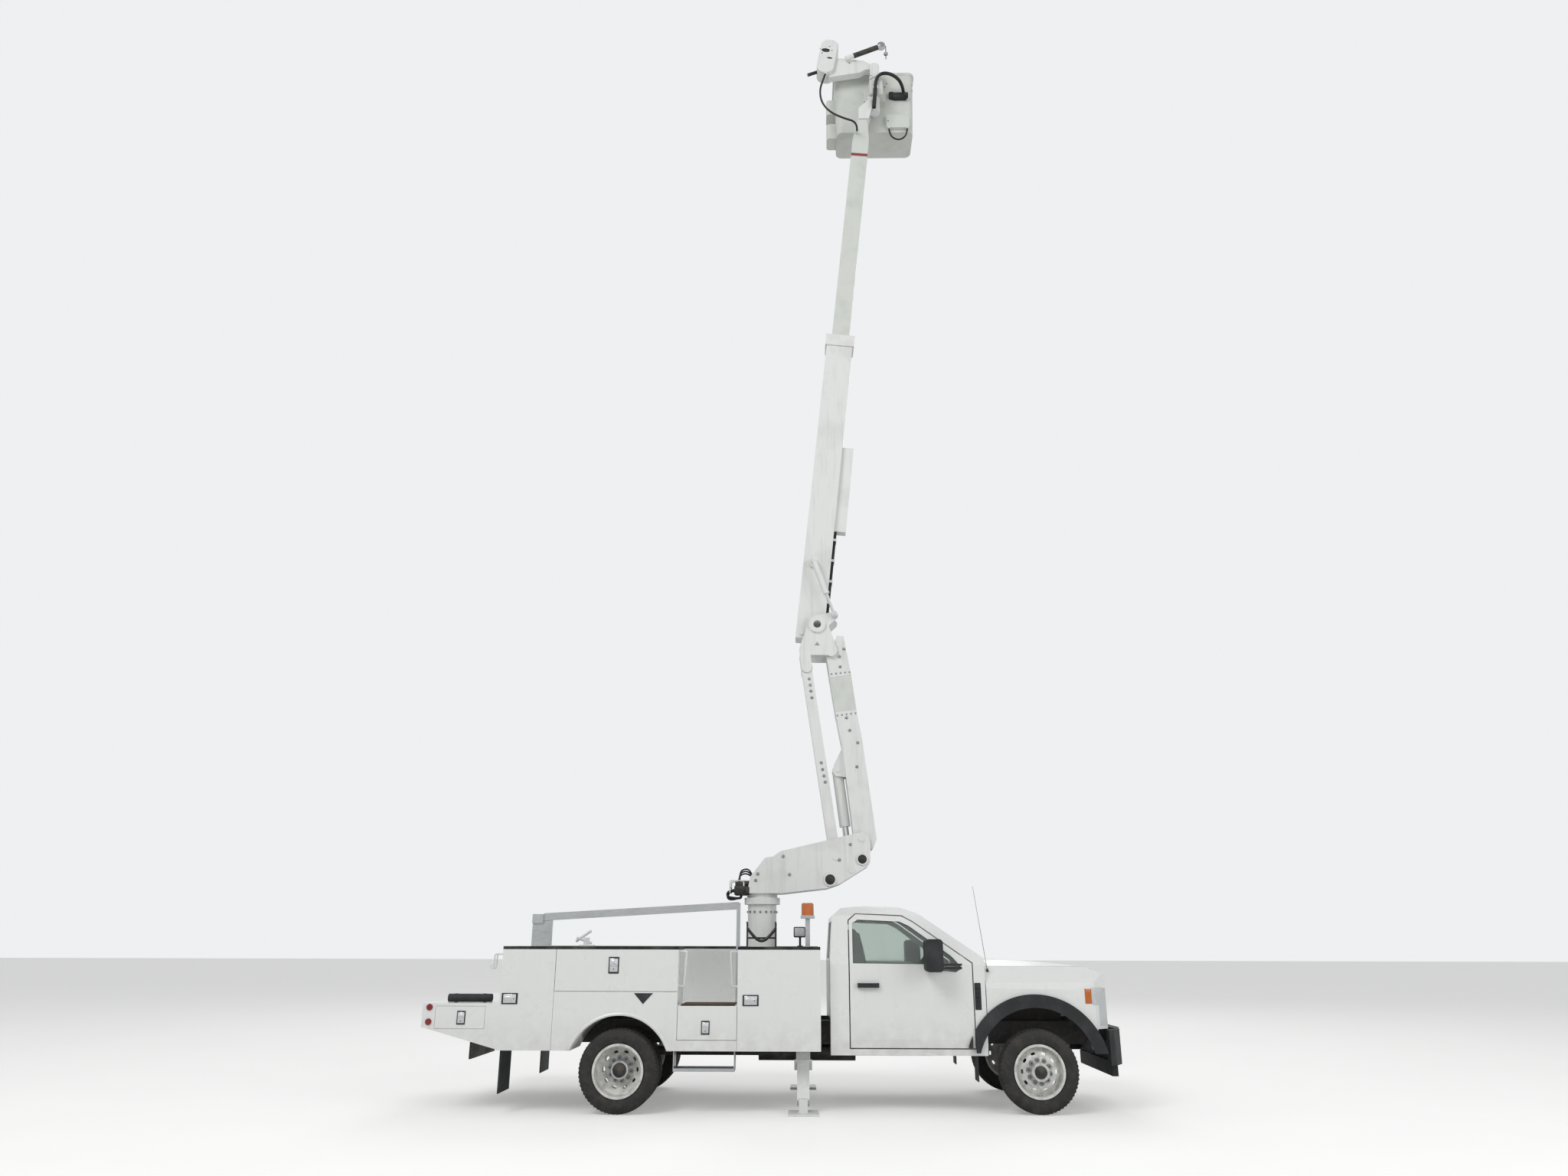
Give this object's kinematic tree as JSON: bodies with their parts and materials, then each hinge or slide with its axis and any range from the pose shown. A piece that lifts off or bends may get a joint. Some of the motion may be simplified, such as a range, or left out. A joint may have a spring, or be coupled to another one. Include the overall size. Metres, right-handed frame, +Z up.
{
  "type": "cherry picker truck",
  "caption": "Utility truck with side lockers, a turning pedestal, a parallelogram riser, a telescoping boom and a levelling bucket with a winch jib.",
  "frame": {"origin": "on the ground under the middle of the vehicle's length and width", "axes": "+X towards the vehicle's front, +Y to its left, +Z up"},
  "size_m": [7.316, 2.58, 14.5444],
  "materials": {
    "body_white": "gloss enamel",
    "arm_white": "semi-gloss enamel",
    "fibreglass_white": "gel-coated fibreglass",
    "black_plastic": "moulded, textured",
    "black_steel": "satin chassis paint",
    "treads_black": "grip coating",
    "aluminium": "mill finish",
    "rod_chrome": "polished rod",
    "wheel_white": "painted steel wheel",
    "tyre_rubber": "rubber",
    "glass_clear": "tinted safety glass",
    "lamp_lens": "moulded lens",
    "seat_vinyl": "grained vinyl",
    "line_steel": "wire line and hook",
    "hose_black": "hydraulic hoses and their covers",
    "engine_iron": "cast"
  },
  "bodies": {
    "truck": {"axles": "black_steel", "body_fittings": "aluminium", "bumper_and_grille": "black_plastic", "cab_glass": "glass_clear", "cab_interior": "seat_vinyl", "cab_shell": "body_white", "chassis_frame": "black_steel", "deck": "body_white", "engine_block": "engine_iron", "front_clip": "body_white", "lamps": "lamp_lens", "pack_treads": "treads_black", "pedestal": "arm_white", "side_pack_left": "body_white", "side_pack_right": "body_white", "wheel_guards": "black_plastic"},
    "hood": {"hood": "body_white"},
    "cab_door_left": {"cab_door_left": "body_white", "door_glass_left": "glass_clear", "door_fittings_left": "black_plastic"},
    "cab_door_right": {"cab_door_right": "body_white", "door_glass_right": "glass_clear", "door_fittings_right": "black_plastic"},
    "locker_front_left": {"locker_door_front_left": "body_white"},
    "locker_front_right": {"locker_door_front_right": "body_white"},
    "locker_long_left": {"locker_door_long_left": "body_white"},
    "locker_long_right": {"locker_door_long_right": "body_white"},
    "locker_rear_left": {"locker_door_rear_left": "body_white"},
    "locker_rear_right": {"locker_door_rear_right": "body_white"},
    "locker_shelf": {"locker_door_shelf": "body_white"},
    "locker_small": {"locker_door_small": "body_white"},
    "outrigger_left": {"outrigger_leg_left": "arm_white"},
    "knuckle_left": {"knuckle_left": "black_steel"},
    "front_wheel_left": {"tyre_front_left": "tyre_rubber", "wheel_front_left": "wheel_white"},
    "rear_wheels_left": {"tyres_rear_left": "tyre_rubber", "wheels_rear_left": "wheel_white"},
    "outrigger_right": {"outrigger_leg_right": "arm_white"},
    "knuckle_right": {"knuckle_right": "black_steel"},
    "front_wheel_right": {"tyre_front_right": "tyre_rubber", "wheel_front_right": "wheel_white"},
    "rear_wheels_right": {"tyres_rear_right": "tyre_rubber", "wheels_rear_right": "wheel_white"},
    "turret": {"turret": "arm_white"},
    "riser": {"riser": "arm_white"},
    "riser_cylinder_barrel": {"riser_cylinder_barrel": "arm_white"},
    "riser_cylinder_rod": {"riser_cylinder_rod": "rod_chrome"},
    "level_link": {"level_link": "arm_white"},
    "elbow": {"elbow": "arm_white"},
    "outer_boom": {"outer_boom": "arm_white"},
    "inner_boom": {"inner_boom": "fibreglass_white"},
    "boom_cylinder_barrels": {"boom_cylinder_barrels": "arm_white"},
    "boom_cylinder_rods": {"boom_cylinder_rods": "rod_chrome"},
    "platform_post": {"platform_post": "arm_white"},
    "bucket": {"bucket": "fibreglass_white", "control_hose": "hose_black", "tool_hose": "hose_black"},
    "jib": {"jib": "arm_white", "winch_hose": "hose_black"},
    "winch_hook": {"winch_hook": "line_steel"}
  },
  "joints": [
    {"name": "rear_spin_right", "type": "hinge", "parent": "truck", "child": "rear_wheels_right", "pos_m": [-1.608, -0.94, 0.405], "axis": [0, 1, 0], "continuous": true},
    {"name": "steer_right", "type": "hinge", "parent": "truck", "child": "knuckle_right", "pos_m": [2.685, -0.79, 0.375], "axis": [0, 0, 1], "range_deg": [-35, 35]},
    {"name": "front_spin_right", "type": "hinge", "parent": "knuckle_right", "child": "front_wheel_right", "pos_m": [2.685, -0.95, 0.405], "axis": [0, 1, 0], "continuous": true},
    {"name": "cab_door_right_swing", "type": "hinge", "parent": "truck", "child": "cab_door_right", "pos_m": [2.052, -1, 1.2], "axis": [0, 0, 1], "range_deg": [0, 65]},
    {"name": "locker_rear_right_swing", "type": "hinge", "parent": "truck", "child": "locker_rear_right", "pos_m": [-2.301, -1.2, 1.09], "axis": [0, 0, 1], "range_deg": [0, 90]},
    {"name": "locker_front_right_swing", "type": "hinge", "parent": "truck", "child": "locker_front_right", "pos_m": [0.457, -1.2, 1.09], "axis": [0, 0, 1], "range_deg": [0, 90]},
    {"name": "locker_long_right_drop", "type": "hinge", "parent": "truck", "child": "locker_long_right", "pos_m": [-1.608, -1.2, 1.171], "axis": [1, 0, 0], "range_deg": [0, 90]},
    {"name": "outrigger_right_slide", "type": "slide", "parent": "truck", "child": "outrigger_right", "axis": [0, 0.5593, 0.829], "range_m": [0, 0.24]},
    {"name": "rear_spin_left", "type": "hinge", "parent": "truck", "child": "rear_wheels_left", "pos_m": [-1.608, 0.94, 0.405], "axis": [0, 1, 0], "continuous": true},
    {"name": "steer_left", "type": "hinge", "parent": "truck", "child": "knuckle_left", "pos_m": [2.685, 0.79, 0.375], "axis": [0, 0, 1], "range_deg": [-35, 35]},
    {"name": "front_spin_left", "type": "hinge", "parent": "knuckle_left", "child": "front_wheel_left", "pos_m": [2.685, 0.95, 0.405], "axis": [0, 1, 0], "continuous": true},
    {"name": "cab_door_left_swing", "type": "hinge", "parent": "truck", "child": "cab_door_left", "pos_m": [2.052, 1, 1.2], "axis": [0, 0, -1], "range_deg": [0, 65]},
    {"name": "locker_rear_left_swing", "type": "hinge", "parent": "truck", "child": "locker_rear_left", "pos_m": [-2.301, 1.2, 1.09], "axis": [0, 0, -1], "range_deg": [0, 90]},
    {"name": "locker_front_left_swing", "type": "hinge", "parent": "truck", "child": "locker_front_left", "pos_m": [0.457, 1.2, 1.09], "axis": [0, 0, -1], "range_deg": [0, 90]},
    {"name": "locker_long_left_drop", "type": "hinge", "parent": "truck", "child": "locker_long_left", "pos_m": [-1.608, 1.2, 1.171], "axis": [-1, 0, 0], "range_deg": [0, 90]},
    {"name": "outrigger_left_slide", "type": "slide", "parent": "truck", "child": "outrigger_left", "axis": [0, -0.5593, 0.829], "range_m": [0, 0.24]},
    {"name": "locker_small_drop", "type": "hinge", "parent": "truck", "child": "locker_small", "pos_m": [-0.708, -1.2, 0.706], "axis": [1, 0, 0], "range_deg": [0, 90]},
    {"name": "locker_shelf_drop", "type": "hinge", "parent": "truck", "child": "locker_shelf", "pos_m": [-3.253, -1.2, 0.805], "axis": [1, 0, 0], "range_deg": [0, 90]},
    {"name": "hood_lift", "type": "hinge", "parent": "truck", "child": "hood", "pos_m": [2.244, 0, 1.487], "axis": [0, -1, 0], "range_deg": [0, 55]},
    {"name": "turret_turn", "type": "hinge", "parent": "truck", "child": "turret", "pos_m": [-0.195, 0, 2.108], "axis": [0, 0, 1], "continuous": true},
    {"name": "riser_fold", "type": "hinge", "parent": "turret", "child": "riser", "pos_m": [0.959, 0, 2.8], "axis": [0, -1, 0], "range_deg": [0, 75]},
    {"name": "link_swing", "type": "hinge", "parent": "turret", "child": "level_link", "pos_m": [0.659, 0, 2.587], "axis": [0, -1, 0], "range_deg": [0, 75]},
    {"name": "elbow_level", "type": "hinge", "parent": "riser", "child": "elbow", "pos_m": [0.632, 0, 5.063], "axis": [0, -1, 0], "range_deg": [-75, 0]},
    {"name": "riser_cylinder_swing", "type": "hinge", "parent": "riser", "child": "riser_cylinder_barrel", "pos_m": [0.696, 0, 3.613], "axis": [0, -1, 0], "range_deg": [-14.79, 0]},
    {"name": "riser_cylinder_stroke", "type": "slide", "parent": "riser_cylinder_barrel", "child": "riser_cylinder_rod", "axis": [0.1246, 0, -0.9922], "range_m": [-0.375, 0]},
    {"name": "boom_lower", "type": "hinge", "parent": "elbow", "child": "outer_boom", "pos_m": [0.463, 0, 5.39], "axis": [0, 1, 0], "range_deg": [0, 84]},
    {"name": "boom_cylinder_swing", "type": "hinge", "parent": "outer_boom", "child": "boom_cylinder_barrels", "pos_m": [0.424, 0, 6.214], "axis": [0, 1, 0], "range_deg": [0, 24.82]},
    {"name": "boom_cylinder_stroke", "type": "slide", "parent": "boom_cylinder_barrels", "child": "boom_cylinder_rods", "axis": [0.3326, 0, -0.9431], "range_m": [-0.14374, 0]},
    {"name": "boom_extend", "type": "slide", "parent": "outer_boom", "child": "inner_boom", "axis": [0.1037, 0, 0.9946], "range_m": [-3.3, 0]},
    {"name": "platform_level", "type": "hinge", "parent": "inner_boom", "child": "platform_post", "pos_m": [1.19198, 0, 13.15627], "axis": [0, 1, 0], "range_deg": [-84, 0]},
    {"name": "bucket_swing", "type": "hinge", "parent": "platform_post", "child": "bucket", "pos_m": [1.377, 0, 13.6], "axis": [0, 0, 1], "range_deg": [-180, 0]},
    {"name": "jib_tilt", "type": "hinge", "parent": "platform_post", "child": "jib", "pos_m": [1.377, 0, 14.06027], "axis": [0, -1, 0], "range_deg": [0, 45]},
    {"name": "hook_plumb", "type": "hinge", "parent": "jib", "child": "winch_hook", "pos_m": [1.482, -0.1, 14.42], "axis": [0, -1, 0], "range_deg": [-45, 0]}
  ],
  "couplings": [
    {"joint": "steer_left", "follows": "steer_right", "ratio": 1},
    {"joint": "link_swing", "follows": "riser_fold", "ratio": 1},
    {"joint": "elbow_level", "follows": "riser_fold", "ratio": -1},
    {"joint": "riser_cylinder_swing", "follows": "riser_fold", "ratio": -0.1966},
    {"joint": "riser_cylinder_stroke", "follows": "riser_fold", "m_per_rad": -0.2861},
    {"joint": "boom_cylinder_swing", "follows": "boom_lower", "ratio": 0.2949},
    {"joint": "boom_cylinder_stroke", "follows": "boom_lower", "m_per_rad": -0.0977},
    {"joint": "platform_level", "follows": "boom_lower", "ratio": -1},
    {"joint": "hook_plumb", "follows": "jib_tilt", "ratio": -1}
  ]
}
